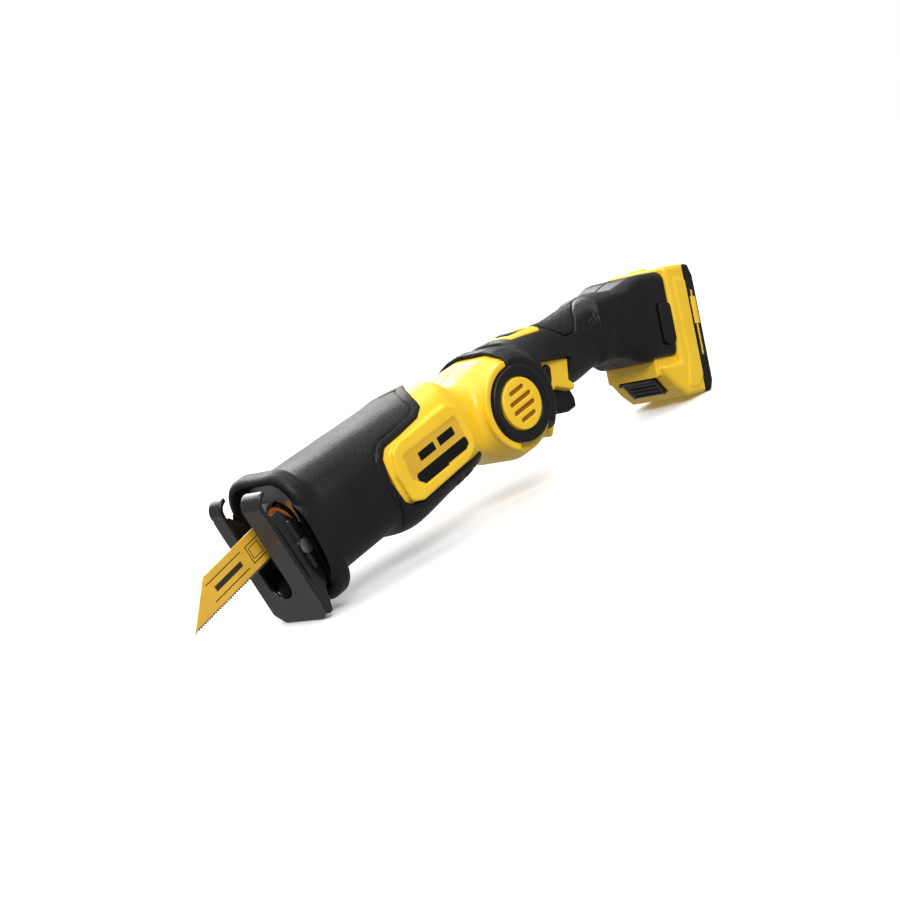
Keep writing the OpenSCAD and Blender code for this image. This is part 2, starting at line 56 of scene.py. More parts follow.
def tool_point(row):
    """A point of the row frame, in metres, as millimetres in the tool's frame."""
    return TURN.transposed() @ (Vector(row) - PIVOT) * 1000


def plane(joint, x0, z0):
    """Side-view coordinates along a joint's axis and across it, from the point x0, z0."""
    d = TURN.transposed() @ Vector(JOINT[joint]["axis"]).normalized()
    c, s = abs(d.x), d.z * (1 if d.x > 0 else -1)
    return lambda x, z: ((x - x0) * c + (z - z0) * s, -(x - x0) * s + (z - z0) * c)


PACK = plane("battery_slide", 0, 0)
ROD_AT = tool_point(JOINT["clamp_twist"]["pos_m"])
ROD = plane("clamp_twist", ROD_AT.x, ROD_AT.z)
SLIDER = plane("lock_slide", 44, 23.9)
PACK_TURN = math.atan2(-(TURN.transposed() @ Vector(JOINT["battery_slide"]["axis"])).z,
                       (TURN.transposed() @ Vector(JOINT["battery_slide"]["axis"])).x)


# ---------------------------------------------------------------- distance functions
def smin(a, b, k):
    h = np.clip(0.5 + 0.5 * (b - a) / k, 0, 1)
    return b * (1 - h) + a * h - k * h * (1 - h)


def smax(a, b, k):
    return -smin(-a, -b, k)


def corner(a, b, r=0.0):
    """Both a and b below zero, with their shared edge rounded to r."""
    a, b = a + r, b + r
    return np.hypot(np.maximum(a, 0), np.maximum(b, 0)) + np.minimum(np.maximum(a, b), 0) - r


def rect(u, v, hu, hv, r=0.0):
    return corner(np.abs(u) - hu, np.abs(v) - hv, r)


def poly(u, v, points, r=0.0):
    """Signed distance to a polygon whose corners are rounded to r."""
    if r:
        points = inset(points, r)
    best = np.full(u.shape, 1e9)
    inside = np.zeros(u.shape, bool)
    for (x0, y0), (x1, y1) in zip(points, points[1:] + points[:1]):
        ex, ey = x1 - x0, y1 - y0
        wx, wy = u - x0, v - y0
        t = np.clip((wx * ex + wy * ey) / (ex * ex + ey * ey), 0, 1)
        best = np.minimum(best, (wx - ex * t) ** 2 + (wy - ey * t) ** 2)
        if ey:
            inside ^= ((y0 > v) != (y1 > v)) & (u < ex * (v - y0) / ey + x0)
    d = np.sqrt(best)
    return np.where(inside, -d, d) - r


def inset(points, r):
    """The polygon moved inwards by r."""
    p = [np.array(q, float) for q in points]
    area = sum(a[0] * b[1] - b[0] * a[1] for a, b in zip(p, p[1:] + p[:1]))
    turn = 1 if area > 0 else -1
    out = []
    for a, b, c in zip(p[-1:] + p[:-1], p, p[1:] + p[:1]):
        d0, d1 = (b - a) / np.linalg.norm(b - a), (c - b) / np.linalg.norm(c - b)
        n0, n1 = turn * np.array([-d0[1], d0[0]]), turn * np.array([-d1[1], d1[0]])
        m = n0 + n1
        out.append(tuple(b + m * (r / max(0.3, 1 + n0 @ n1))))
    return out


def profile(points, soft):
    """A value along an axis through the given places, smoothed over about soft millimetres."""
    xs, ys = [p[0] for p in points], [p[1] for p in points]
    step = 0.5
    at = np.arange(xs[0] - 20, xs[-1] + 20, step)
    kernel = np.exp(-0.5 * (np.arange(-40, 41) * step / soft) ** 2)
    value = np.convolve(np.pad(np.interp(at, xs, ys), 40, mode="edge"), kernel / kernel.sum(), "valid")
    return lambda x: np.interp(x, at, value)


def loft(x, y, z, top, low, half, n):
    """A bar along x whose section is a rounded box from low to top, half wide each side."""
    t, b, w = top(x), low(x), half(x)
    h = (t - b) / 2
    rho = (np.abs(y / w) ** n + np.abs((z - (t + b) / 2) / h) ** n) ** (1 / n)
    return (rho - 1) * np.minimum(w, h)


def groove(f, path, width, depth):
    """Cuts a line into f where path is nearly zero."""
    return smax(f, -np.maximum(np.abs(path) - width / 2, -(f + depth)), 0.25)


def angle(x, z):
    return np.degrees(np.arctan2(z, x))


# ---------------------------------------------------------------- meshing
OFFSETS = [(0, 0, 0), (1, 0, 0), (0, 1, 0), (1, 1, 0), (0, 0, 1), (1, 0, 1), (0, 1, 1), (1, 1, 1)]
EDGES = [(0, 1), (2, 3), (4, 5), (6, 7), (0, 2), (1, 3), (4, 6), (5, 7), (0, 4), (1, 5), (2, 6), (3, 7)]


def field(f, low, high, h):
    """Samples f on a grid, fully only in the blocks near its surface."""
    size = 8
    low = np.array(low, float)
    blocks = np.ceil((np.array(high) - low) / (h * size)).astype(int) + 1
    mid = [low[k] + (np.arange(blocks[k]) * size + (size - 1) / 2) * h for k in range(3)]
    at = np.meshgrid(*mid, indexing="ij")
    coarse = f(*[a.ravel() for a in at]).reshape(blocks)
    out = np.repeat(coarse.astype(np.float32)[:, None], size, 1)
    out = np.repeat(out[:, :, :, None], size, 3)
    out = np.repeat(out[:, :, :, :, :, None], size, 5)
    near = np.argwhere(np.abs(coarse) < size * h * 1.5)
    step = np.stack(np.meshgrid(*[np.arange(size) * h] * 3, indexing="ij"), -1).reshape(-1, 3)
    for i in range(0, len(near), 400):
        part = near[i:i + 400]
        p = (low + part * size * h)[:, None, :] + step[None]
        v = f(*[p[..., k].ravel() for k in range(3)]).reshape(-1, size, size, size)
        out[part[:, 0], :, part[:, 1], :, part[:, 2], :] = v
    return low, out.reshape([b * size for b in blocks])


def surface(f, low, high, h):
    """Vertices and quads of the surface where f is zero."""
    low, v = field(f, low, high, h)
    n = np.array(v.shape)
    inside = v < 0
    count = sum(inside[a:n[0] - 1 + a, b:n[1] - 1 + b, c:n[2] - 1 + c].astype(np.int8) for a, b, c in OFFSETS)
    cells = np.argwhere((count > 0) & (count < 8))
    ids = np.full(n - 1, -1, np.int64)
    ids[tuple(cells.T)] = np.arange(len(cells))
    vals = [v[tuple((cells + o).T)].astype(float) for o in OFFSETS]
    total, hits = np.zeros((len(cells), 3)), np.zeros(len(cells))
    for a, b in EDGES:
        cross = (vals[a] < 0) != (vals[b] < 0)
        t = np.where(cross, vals[a] / np.where(cross, vals[a] - vals[b], 1), 0)
        oa, ob = np.array(OFFSETS[a], float), np.array(OFFSETS[b], float)
        total += cross[:, None] * (oa + t[:, None] * (ob - oa))
        hits += cross
    points = low + (cells + total / hits[:, None]) * h
    quads = []
    for axis in range(3):
        b, c = (axis + 1) % 3, (axis + 2) % 3
        first = [slice(1, -1)] * 3
        first[axis] = slice(0, -1)
        second = list(first)
        second[axis] = slice(1, None)
        change = inside[tuple(first)] != inside[tuple(second)]
        at = np.argwhere(change) + [0 if k == axis else 1 for k in range(3)]
        keep = (at < n - 1).all(1)
        at = at[keep]
        if not len(at):
            continue
        out = inside[tuple(at.T)]
        ring = []
        for db, dc in ((0, 0), (-1, 0), (-1, -1), (0, -1)):
            q = at.copy()
            q[:, b] += db
            q[:, c] += dc
            ring.append(ids[tuple(q.T)])
        ring = np.stack(ring, 1)
        quads.append(np.where(out[:, None], ring, ring[:, ::-1]))
    quads = np.concatenate(quads)
    eps = 0.04
    for _ in range(3):
        x, y, z = points.T
        f0 = f(x, y, z)
        g = np.stack([f(x + eps, y, z) - f(x - eps, y, z), f(x, y + eps, z) - f(x, y - eps, z),
                      f(x, y, z + eps) - f(x, y, z - eps)], 1) / (2 * eps)
        move = -g * (f0 / np.maximum((g * g).sum(1), 0.05))[:, None]
        length = np.linalg.norm(move, axis=1)
        points = points + move * np.minimum(1, 0.3 * h / np.maximum(length, 1e-9))[:, None]
    return points, quads


def piece(name, f, low, high, h, body, material, stands_for=(), paint=None, flip=False):
    """Makes one piece from a distance function, ties it to its body, gives it its materials and hides the CAD nodes
    it stands for.
    """
    points, quads = surface(f, low, high, h * (1.0))
    if flip:
        points = points * [1, -1, 1]
        quads = quads[:, ::-1]
    row = points @ TO_ROW.T + np.array(PIVOT)
    mesh = bpy.data.meshes.new(name)
    mesh.vertices.add(len(row))
    mesh.vertices.foreach_set("co", row.astype(np.float32).ravel())
    mesh.loops.add(quads.size)
    mesh.loops.foreach_set("vertex_index", quads.astype(np.int32).ravel())
    mesh.polygons.add(len(quads))
    mesh.polygons.foreach_set("loop_start", np.arange(0, quads.size, 4, dtype=np.int32))
    mesh.polygons.foreach_set("use_smooth", np.ones(len(quads), bool))
    mesh.update(calc_edges=True)
    mesh.validate()
    obj = bpy.data.objects.new(name, mesh)
    bpy.context.scene.collection.objects.link(obj)
    materials = material if isinstance(material, list) else [material]
    for m in materials:
        mesh.materials.append(m)
    if paint is not None:
        mid = points[quads].mean(1)
        mesh.polygons.foreach_set("material_index", paint(*mid.T).astype(np.int32))
    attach(obj, body)
    if stands_for:
        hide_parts(*stands_for)
    return obj


# ---------------------------------------------------------------- materials
class Nodes:
    """A small helper that builds one material's node tree."""

    def __init__(self, name):
        self.m = bpy.data.materials.new(name)
        self.m.use_nodes = True
        self.t = self.m.node_tree
        self.s = self.t.nodes["Principled BSDF"]
        self.at = self.add("ShaderNodeTexCoord").outputs["Object"]

    def add(self, kind, **values):
        n = self.t.nodes.new(kind)
        for k, v in values.items():
            setattr(n, k, v)
        return n

    def put(self, socket, value):
        if hasattr(value, "links") and hasattr(value, "is_output"):
            self.t.links.new(value, socket)
        else:
            socket.default_value = value

    def noise(self, scale, detail=2.0, rough=0.5, at=None):
        n = self.add("ShaderNodeTexNoise")
        self.put(n.inputs["Vector"], at or self.at)
        n.inputs["Scale"].default_value = scale
        n.inputs["Detail"].default_value = detail
        n.inputs["Roughness"].default_value = rough
        return n.outputs["Fac"]

    def cells(self, scale, at=None):
        n = self.add("ShaderNodeTexVoronoi")
        self.put(n.inputs["Vector"], at or self.at)
        n.inputs["Scale"].default_value = scale
        return n.outputs["Distance"]

    def math(self, op, a, b=0.0, c=0.0):
        n = self.add("ShaderNodeMath", operation=op)
        self.put(n.inputs[0], a)
        self.put(n.inputs[1], b)
        if op in ("MULTIPLY_ADD", "SMOOTH_MIN", "COMPARE"):
            self.put(n.inputs[2], c)
        return n.outputs[0]

    def between(self, value, low, high, out_low=0.0, out_high=1.0):
        n = self.add("ShaderNodeMapRange")
        self.put(n.inputs["Value"], value)
        for k, v in (("From Min", low), ("From Max", high), ("To Min", out_low), ("To Max", out_high)):
            n.inputs[k].default_value = v
        return n.outputs["Result"]

    def mix(self, fac, a, b):
        n = self.add("ShaderNodeMix", data_type="RGBA")
        self.put(n.inputs["Factor"], fac)
        self.put(n.inputs["A"], a if not isinstance(a, tuple) else (*a, 1.0))
        self.put(n.inputs["B"], b if not isinstance(b, tuple) else (*b, 1.0))
        return n.outputs["Result"]

    def bump(self, height, strength, distance=0.001):
        n = self.add("ShaderNodeBump")
        n.inputs["Strength"].default_value = strength
        n.inputs["Distance"].default_value = distance
        self.put(n.inputs["Height"], height)
        self.put(self.s.inputs["Normal"], n.outputs["Normal"])

    def edges(self, low=0.52, high=0.62):
        """One along convex edges."""
        g = self.add("ShaderNodeNewGeometry")
        return self.between(g.outputs["Pointiness"], low, high)

    def along(self, axis, origin):
        """Distance along a direction of the row frame from a point, in millimetres."""
        d = self.add("ShaderNodeVectorMath", operation="SUBTRACT")
        self.put(d.inputs[0], self.at)
        d.inputs[1].default_value = tuple(origin)
        n = self.add("ShaderNodeVectorMath", operation="DOT_PRODUCT")
        self.put(n.inputs[0], d.outputs["Vector"])
        n.inputs[1].default_value = tuple(Vector(axis) * 1000)
        return n.outputs["Value"]


def moulded(name, dark, light, rough, grain, bump, coat=0.0, shine=0.5, spread=0.12):
    """Moulded plastic or rubber: slight colour drift, fine grain and paler convex edges."""
    n = Nodes(name)
    drift = n.noise(38.0, 3.0, 0.6)
    base = n.mix(n.between(drift, 0.3, 0.7), dark, light)
    # convex edges are mixed towards a paler copy of the light colour
    pale_edge_and_wear = n.math("MULTIPLY", n.edges(0.54, 0.7), 0.25)
    n.put(n.s.inputs["Base Color"], n.mix(pale_edge_and_wear, base, tuple(min(1, c * 1.3 + 0.006) for c in light)))
    fine = n.noise(grain, 2.0, 0.65)
    pits = n.cells(grain * 0.55)
    n.put(n.s.inputs["Roughness"], n.between(n.math("ADD", drift, n.math("MULTIPLY", fine, 0.6)),
                                             0.5, 1.1, rough - spread / 2, rough + spread / 2))
    n.bump(n.math("ADD", fine, n.math("MULTIPLY", pits, 0.7)), bump, 0.0004)
    n.s.inputs["Specular IOR Level"].default_value = shine
    n.s.inputs["Coat Weight"].default_value = coat
    n.s.inputs["Coat Roughness"].default_value = 0.2
    return n.m


def metal(name, colour, rough, grain=420.0, metallic=1.0, along=(1, 0.08, 0.08)):
    """Metal with a fine brushed grain and uneven roughness."""
    n = Nodes(name)
    stretch = n.add("ShaderNodeMapping")
    n.put(stretch.inputs["Vector"], n.at)
    stretch.inputs["Scale"].default_value = along
    lines = n.noise(grain, 3.0, 0.6, stretch.outputs["Vector"])
    cloud = n.noise(90.0, 3.0, 0.55)
    n.put(n.s.inputs["Base Color"], n.mix(n.between(cloud, 0.3, 0.7), tuple(c * 0.82 for c in colour), colour))
    n.put(n.s.inputs["Roughness"], n.between(n.math("ADD", lines, cloud), 0.6, 1.4, rough - 0.07, rough + 0.1))
    n.s.inputs["Metallic"].default_value = metallic
    n.bump(lines, 0.12, 0.0003)
    return n.m


YELLOW = moulded("yellow_plastic", (0.80, 0.49, 0.013), (0.86, 0.55, 0.018), 0.36, 1500.0, 0.08, 0.1)
BLACK = moulded("black_plastic", (0.004, 0.004, 0.0045), (0.006, 0.006, 0.0065), 0.38, 1300.0, 0.25, shine=0.26)
RUBBER = moulded("boot_rubber", (0.004, 0.004, 0.0045), (0.007, 0.007, 0.0075), 0.46, 1000.0, 0.5, shine=0.24)
GRIP = moulded("grip_texture", (0.005, 0.005, 0.0055), (0.008, 0.008, 0.0085), 0.55, 620.0, 1.0, shine=0.18)
GLOSS = moulded("black_steel", (0.004, 0.004, 0.0045), (0.007, 0.007, 0.0075), 0.20, 800.0, 0.06, 0.3, 0.4)
# paler grey copy of the black steel for the shoe's front face: a painted reflection of the bright surroundings
SHOE_FACE_REFLECTION = moulded("shoe_face_painted_reflection", (0.045, 0.045, 0.048), (0.060, 0.060, 0.064), 0.52, 900.0, 0.08)
STEEL = metal("steel", (0.56, 0.57, 0.58), 0.30)
ALLOY = metal("cast_alloy", (0.42, 0.43, 0.44), 0.48, 240.0)
COPPER = metal("copper_winding", (0.72, 0.32, 0.14), 0.34)
BRASS = metal("brass_parts", (0.70, 0.50, 0.20), 0.32)
CARBON = moulded("carbon", (0.02, 0.02, 0.022), (0.035, 0.035, 0.038), 0.6, 900.0, 0.3)
SLEEVE = moulded("cell_sleeve", (0.02, 0.09, 0.28), (0.03, 0.12, 0.34), 0.32, 500.0, 0.08, 0.3)
DARK_STEEL = metal("screw_steel", (0.20, 0.20, 0.21), 0.36)


def blade_material():
    """Painted blade: plain outlined boxes along its side and bare steel teeth."""
    n = Nodes("blade_paint")
    rod = Vector(JOINT["clamp_twist"]["axis"]).normalized()
    rod = -rod if rod.x < 0 else rod
    up = rod.cross(AY)
    origin = JOINT["clamp_twist"]["pos_m"]
    s, h = n.along(rod, origin), n.along(up, origin)

    def box_line(s0, s1, h0, h1, width):
        ds = n.math("SUBTRACT", n.math("ABSOLUTE", n.math("SUBTRACT", s, (s0 + s1) / 2)), (s1 - s0) / 2)
        dh = n.math("SUBTRACT", n.math("ABSOLUTE", n.math("SUBTRACT", h, (h0 + h1) / 2)), (h1 - h0) / 2)
        edge = n.math("ABSOLUTE", n.math("MAXIMUM", ds, dh))
        return n.math("LESS_THAN", edge, width)

    def bar(s0, s1, h0, h1):
        ds = n.math("LESS_THAN", n.math("ABSOLUTE", n.math("SUBTRACT", s, (s0 + s1) / 2)), (s1 - s0) / 2)
        dh = n.math("LESS_THAN", n.math("ABSOLUTE", n.math("SUBTRACT", h, (h0 + h1) / 2)), (h1 - h0) / 2)
        return n.math("MULTIPLY", ds, dh)

    marks = box_line(-34.5, -20.5, -4.6, 5.2, 0.28)
    for extra in (box_line(-33.0, -26.0, -2.8, 3.4, 0.22), bar(-24.5, -22.0, -2.8, 3.4),
                  bar(-66.0, -38.5, -4.9, -4.3), bar(-66.0, -38.5, 5.0, 5.6), bar(-62.0, -41.0, -1.3, 1.7)):
        marks = n.math("MAXIMUM", marks, extra)
    cloud = n.noise(60.0, 3.0)
    paint = n.mix(n.between(cloud, 0.3, 0.7), (0.66, 0.37, 0.03), (0.76, 0.44, 0.04))
    pale_edge_and_wear = n.between(n.noise(700.0, 4.0, 0.7), 0.62, 0.72)
    paint = n.mix(n.math("MULTIPLY", pale_edge_and_wear, 0.35), paint, (0.42, 0.27, 0.05))
    paint = n.mix(marks, paint, (0.02, 0.015, 0.01))
    bare = n.math("LESS_THAN", h, -8.1)
    n.put(n.s.inputs["Base Color"], n.mix(bare, paint, (0.30, 0.26, 0.20)))
    n.put(n.s.inputs["Metallic"], n.math("MULTIPLY", bare, 0.9))
    n.put(n.s.inputs["Roughness"], n.between(cloud, 0.3, 0.7, 0.34, 0.46))
    n.bump(n.noise(900.0, 3.0), 0.08, 0.0003)
    return n.m


def collar_material():
    """Black clamp collar with an orange ring round its front."""
    n = Nodes("clamp_collar")
    rod = Vector(JOINT["clamp_twist"]["axis"]).normalized()
    place = n.along(rod if rod.x > 0 else -rod, JOINT["clamp_twist"]["pos_m"])
    front = n.math("LESS_THAN", place, -6.5)
    cloud = n.noise(80.0, 3.0)
    orange = n.mix(cloud, (0.75, 0.18, 0.01), (0.85, 0.24, 0.015))
    black = n.mix(cloud, (0.006, 0.006, 0.006), (0.011, 0.011, 0.011))
    n.put(n.s.inputs["Base Color"], n.mix(front, black, orange))
    n.put(n.s.inputs["Roughness"], n.between(cloud, 0.3, 0.7, 0.32, 0.46))
    n.bump(n.noise(900.0, 3.0), 0.1, 0.0003)
    return n.m


BLADE = blade_material()
COLLAR = collar_material()

NODE_LOOKS = {
    STEEL: ["plunger", "crank_axle", "crank_roller", "rotor_shaft", "motor_can", "motor_bearings", "clamp_pin",
            "clamp_spring", "shoe_bracket", "shoe_pins", "detent_ring", "trigger_spring", "slider_spring",
            "latch_spring", "clamp_body"],
    DARK_STEEL: ["plunger_bushing", "housing_screws", "handle_screws", "battery_screws", "gearcase_screws", "crank_gear",
                 "motor_magnets"],
    ALLOY: ["gearcase"],
    COPPER: ["armature"],
    BRASS: ["commutator", "battery_contacts"],
    CARBON: ["motor_brushes"],
    BLACK: ["motor_end_cap", "cooling_fan", "switch_module", "terminal_block"],
    RUBBER: ["plunger_seal"],
    SLEEVE: ["battery_cells"],
    COLLAR: ["clamp_collar"],
    BLADE: ["blade"],
}
for look, names in NODE_LOOKS.items():
    for name in names:
        node = frame["nodes"][name]
        node.data.materials.clear()
        node.data.materials.append(look)


# ---------------------------------------------------------------- motor housing
BARREL_Y = 27.5
COLLAR_R = 25.5
EAR_R = 21.0
body_top = profile([(-110, 37.0), (-60, 38.0), (-40, 38.9), (-37, 38.0), (-32, 31.2), (-27, 27.8), (-18, 26.8),
                    (0, 26)], 1.6)
body_low = profile([(-110, -14.6), (-55, -15.2), (-34, -16.8), (-19, -20.4), (-9, -24.0), (0, -26)], 3)
body_half = profile([(-110, 29.0), (-92, 29.6), (-48, 29.6), (-41, 28.8), (-34, 26.2), (-27, 24.6), (0, 24.4)], 2)
PANEL = [(-96.5, -4.5), (-98.6, 12), (-94.5, 23.2), (-88, 26.2), (-48, 26.4), (-41.4, 22), (-40.0, 14), (-40.0, 2),
         (-42.5, -3.6), (-50, -6.4), (-89, -7.6)]
LABEL = [(-89.5, 19.0), (-45.4, 18.6), (-44.6, 1.5), (-48.5, -1.0), (-84.0, -1.8), (-90.5, 4.5)]


def round_by(y, places):
    """Radius of a turned shape at a distance across the saw, softened; the far side is slimmer."""
    at = np.linspace(0, 40, 161)
    value = np.interp(at, [p[0] for p in places], [p[1] for p in places])
    kernel = np.exp(-0.5 * (np.arange(-8, 9) * 0.25 / 0.7) ** 2)
    value = np.convolve(np.pad(value, 8, mode="edge"), kernel / kernel.sum(), "valid")
    return np.interp(np.abs(y), at, value) - slimmer(y)


def slimmer(y):
    return 0.25 * np.clip(y - 5, 0, 26)


def sector(x, z, start, end):
    """Below zero between two angles about the pivot, counted from +X towards +Z."""
    middle, reach = (start + end) / 2, (end - start) / 2
    away = np.abs((angle(x, z) - middle + 180) % 360 - 180)
    return (away - reach) * math.pi / 180 * np.clip(np.hypot(x, z), 12, 40)


def barrel(x, y, z):
    """The housing's round end, with the raised collar round the front of the hub."""
    r = np.hypot(x, z)
    drum = corner((r - round_by(y, [(0, 29.5), (17, 29.5), (27.5, 25.8)])) * 0.92, np.abs(y) - BARREL_Y, 1.2)
    collar = corner(np.maximum(r - COLLAR_R + slimmer(y), EAR_R + 0.4 - r), np.abs(y) - 31.0, 0.9)
    return smin(drum, np.maximum(collar, sector(x, z, 84, 236)), 0.8)


def skin(x, y, z):
    """Outer surface of the yellow housing."""
    f = loft(x, y, z, body_top, body_low, body_half, 3.3)
    f = corner(f, x + 5, 2)
    f = smin(f, barrel(x, y, z), 3.0)
    panel = corner(poly(x, z, PANEL, 3.5), np.abs(y) - 31.4, 1.0)
    f = smin(f, panel, 0.8)
    trunnion = corner(np.hypot(x, z) - 14.9, np.abs(y) - 31.0, 0.4)
    return np.minimum(f, trunnion)


def housing(side):
    def f(x, y, z):
        s = skin(x, y, z)
        label = poly(x, z, LABEL, 2.2)
        s = np.maximum(s, -np.maximum(label, 31.0 - np.abs(y)))
        inner = np.minimum(loft(x, y, z, body_top, body_low, body_half, 3.3) + 2.6,
                           corner(np.hypot(x, z) - round_by(y, [(0, 27), (15, 27), (25, 23.4)]),
                                  np.abs(y) - 25, 1))
        s = np.maximum(s, -np.maximum(inner, -x - 98.5))
        s = np.maximum(s, -(np.hypot(x, z) - 11.2))
        s = np.maximum(s, -101.0 - x)
        gear = rect(y, z - 13, 24.2, 21.2, 10)
        s = np.maximum(s, -np.maximum(gear, x + 90))
        r = np.hypot(x, z)
        band = np.maximum(np.maximum(np.abs(y) - 5.2, np.abs(r - 29.4) - 2.0), sector(x, z, -36, 68))
        s = np.maximum(s, -band)
        if side > 0:
            for at in ((-70, 32.5), (-40, 32.5), (-92, -12), (-22, -12), (16, 12)):
                s = np.maximum(s, -np.maximum(np.hypot(x - at[0], z - at[1]) - 3.3, 21.0 - y))
        return corner(s, -side * y + 0.04, 0.3)
    return f


LABEL_GOLD = moulded("label_gold", (0.62, 0.36, 0.010), (0.70, 0.41, 0.014), 0.30, 700.0, 0.03, 0.4)
LABEL_BLACK = moulded("label_black", (0.003, 0.003, 0.003), (0.005, 0.005, 0.005), 0.30, 700.0, 0.03, 0.05, 0.15)


STRIP = [(-86.5, 5.8), (-45.6, 5.8), (-45.6, 1.0), (-49.0, -0.6), (-83.0, -1.2), (-86.5, 1.5)]


def label_paint(x, y, z):
    """Plain two-tone label: a gold field over a black strip with two short bars above it."""
    on = (poly(x, z, LABEL, 2.2) < -0.2) & (np.abs(y) > 30.6)
    dark = poly(x, z, STRIP, 0.8) < 0
    for at, reach in ((-73.5, 6.5), (-57.5, 6.5)):
        dark |= rect(x - at, z - 12.4, reach, 2.2, 0.8) < 0
    return np.where(on, np.where(dark, 2, 1), 0)


for side, name in ((-1, "left"), (1, "right")):
    lo, hi = ((-102.5, -32.5, -32), (31, 0.8, 41)) if side < 0 else ((-102.5, -0.8, -32), (31, 32.5, 41))
    piece(f"{name}_housing_skin", housing(side), lo, hi, 0.8, "body",
          [YELLOW, LABEL_GOLD, LABEL_BLACK], [f"{name}_housing"], label_paint)

# ---------------------------------------------------------------- rubber boot and belly pad
NECK_Z, NECK_HALF, NECK_HIGH = 17.25, 28.0, 26.25
FLANGE_Z, FLANGE_HIGH = 12.5, 36.5
# Edge of the yellow window: place along the saw, and way round the section from its middle
WINDOW = [(-38.5, 66), (-42.5, 57), (-49, 49), (-55.5, 37), (-59, 25.5), (-66, 20.2), (-82, 18.6), (-95, 18.2),
          (-100, 13), (-102.4, 0), (-99.2, -15), (-94.5, -20.9), (-69, -21.4), (-36, -24.6), (-29.5, -29),
          (-30.5, -34), (-10, -60), (40, -60), (40, 70)]
boot_top = profile([(-160, 43.5), (-140, 43.4), (-104, 41.6), (-60, 39.2), (-40, 39.4)], 4)
boot_low = profile([(-160, -9), (-122, -8.6), (-117, -11), (-107, -17.6), (-98, -21.0), (-90, -22.3), (-80, -21.8), (-62, -20),
                    (-46, -19.6), (-36, -18.0), (-29, -14.5), (-20, -12)], 2.5)
boot_half = profile([(-160, 26.6), (-130, 26.8), (-110, 27.8), (-98, 30.2), (-60, 30.5), (-40, 29.6), (-30, 26.5)], 3)


def window(x, y, z):
    t = (z - 11) + np.sign(z - 11) * np.clip(30 - np.abs(y), 0, 60)
    return poly(x, t, WINDOW, 5.0)


def rubber(x, y, z):
    """Outer surface of all the black rubber on the gearcase and housing."""
    f = loft(x, y, z, boot_top, boot_low, boot_half, 3.2)
    f = corner(f, -158 - x, 3)
    lip = corner(rect(y, z - FLANGE_Z, 28.0, FLANGE_HIGH, 17), np.abs(x + 154.2) - 5.9, 3.6)
    f = smin(f, lip, 4.5)
    f = smin(f, skin(x, y, z) - 0.75, 1.2)
    f = smax(f, -window(x, y, z), 1.5)
    return np.maximum(f, x + 26)


def seam_path(x, y, z):
    return window(x, y, z) - 5.6


def boot_core(x, y, z):
    front = rect(y, z - NECK_Z, 24.2, 22.2, 13)
    rear = rect(y, z - 13, 24.0, 21.0, 10)
    return np.minimum(np.maximum(front, x + 104), np.maximum(rear, -x - 104.5))


SEAM_X = -103.5


def boot(x, y, z):
    f = rubber(x, y, z)
    line = np.where(x > -112, seam_path(x, y, z), 9.0)
    f = np.where(z > -12, groove(f, line, 1.0, 0.55), f)
    belly = np.maximum(z - 3.0, SEAM_X + 0.1 - x)
    f = np.maximum(f, -belly)
    f = np.maximum(f, -np.maximum(skin(x, y, z) + 1.6, -x - 101.0))
    f = np.maximum(f, -boot_core(x, y, z))
    recess = rect(y, z - FLANGE_Z, 23.6, 32.6, 14)
    bowl = corner(recess + (x + 160.2) * 0.22, x + 150.0, 0.8)
    return smax(f, -bowl, 1.0)


def slit(x, y, z, at):
    along = (x - at) + (z + 16) * 0.45
    return corner(np.abs(along) - 1.5, np.abs(z + 16.2) - 3.6, 1.2)


def belly_pad(x, y, z):
    f = rubber(x, y, z)
    f = np.maximum(f, np.maximum(z - 2.9, SEAM_X + 0.35 - x))
    for at in (-57, -48.5, -40.5):
        f = smax(f, -np.maximum(slit(x, y, z, at), 17 - np.abs(y)), 0.5)
    f = np.maximum(f, -(skin(x, y, z) + 1.6))
    return smax(f, x + 34.5, 1.0)


piece("boot_skin", boot, (-161.5, -32.5, -27), (-36, 32.5, 52), 0.85, "body", RUBBER,
      ["gearcase_boot"])
piece("belly_pad_skin", belly_pad, (-105, -32.5, -23), (-24, 32.5, 5), 0.85, "body", RUBBER,
      ["belly_pad"])


GRILLE = ((-1.5, 6.0), (-0.5, 8.8), (0.5, 8.8), (1.5, 6.0))
# amber brown for the floors of the grille slots: painted shade, the yellow inside seen in shadow
GRILLE_SHADE = moulded("grille_painted_shade", (0.30, 0.10, 0.006), (0.38, 0.14, 0.008), 0.5, 900.0, 0.1, shine=0.2)


def vents(x, y, z):
    r = np.hypot(x, z)
    f = corner(r - 14.3, np.abs(np.abs(y) - 31.85) - 0.9, 0.5)
    for row, reach in GRILLE:
        d = rect(x, z - 5.3 * row, reach, 1.2, 1.15)
        # the slots stop short of the inside, leaving a floor that carries the painted shade
        f = smax(f, -np.maximum(d, 31.45 - np.abs(y)), 0.3)
    return f


# slot floors get the amber painted shade
def vent_shade_paint(x, y, z):
    low = np.full(x.shape, False)
    for row, reach in GRILLE:
        low |= rect(x, z - 5.3 * row, reach + 0.1, 1.3, 1.25) < 0
    return np.where(low & (np.abs(y) > 31.2) & (np.abs(y) < 32.3), 1, 0)


piece("hub_grilles", vents, (-16, -34, -16), (16, 34, 16), 0.5, "body",
      [YELLOW, GRILLE_SHADE], ["hub_vents"], vent_shade_paint)

# ---------------------------------------------------------------- shoe
SHOE_PIN = tool_point(JOINT["shoe_tilt"]["pos_m"])
SHOE = plane("clamp_twist", -170.7, 0)


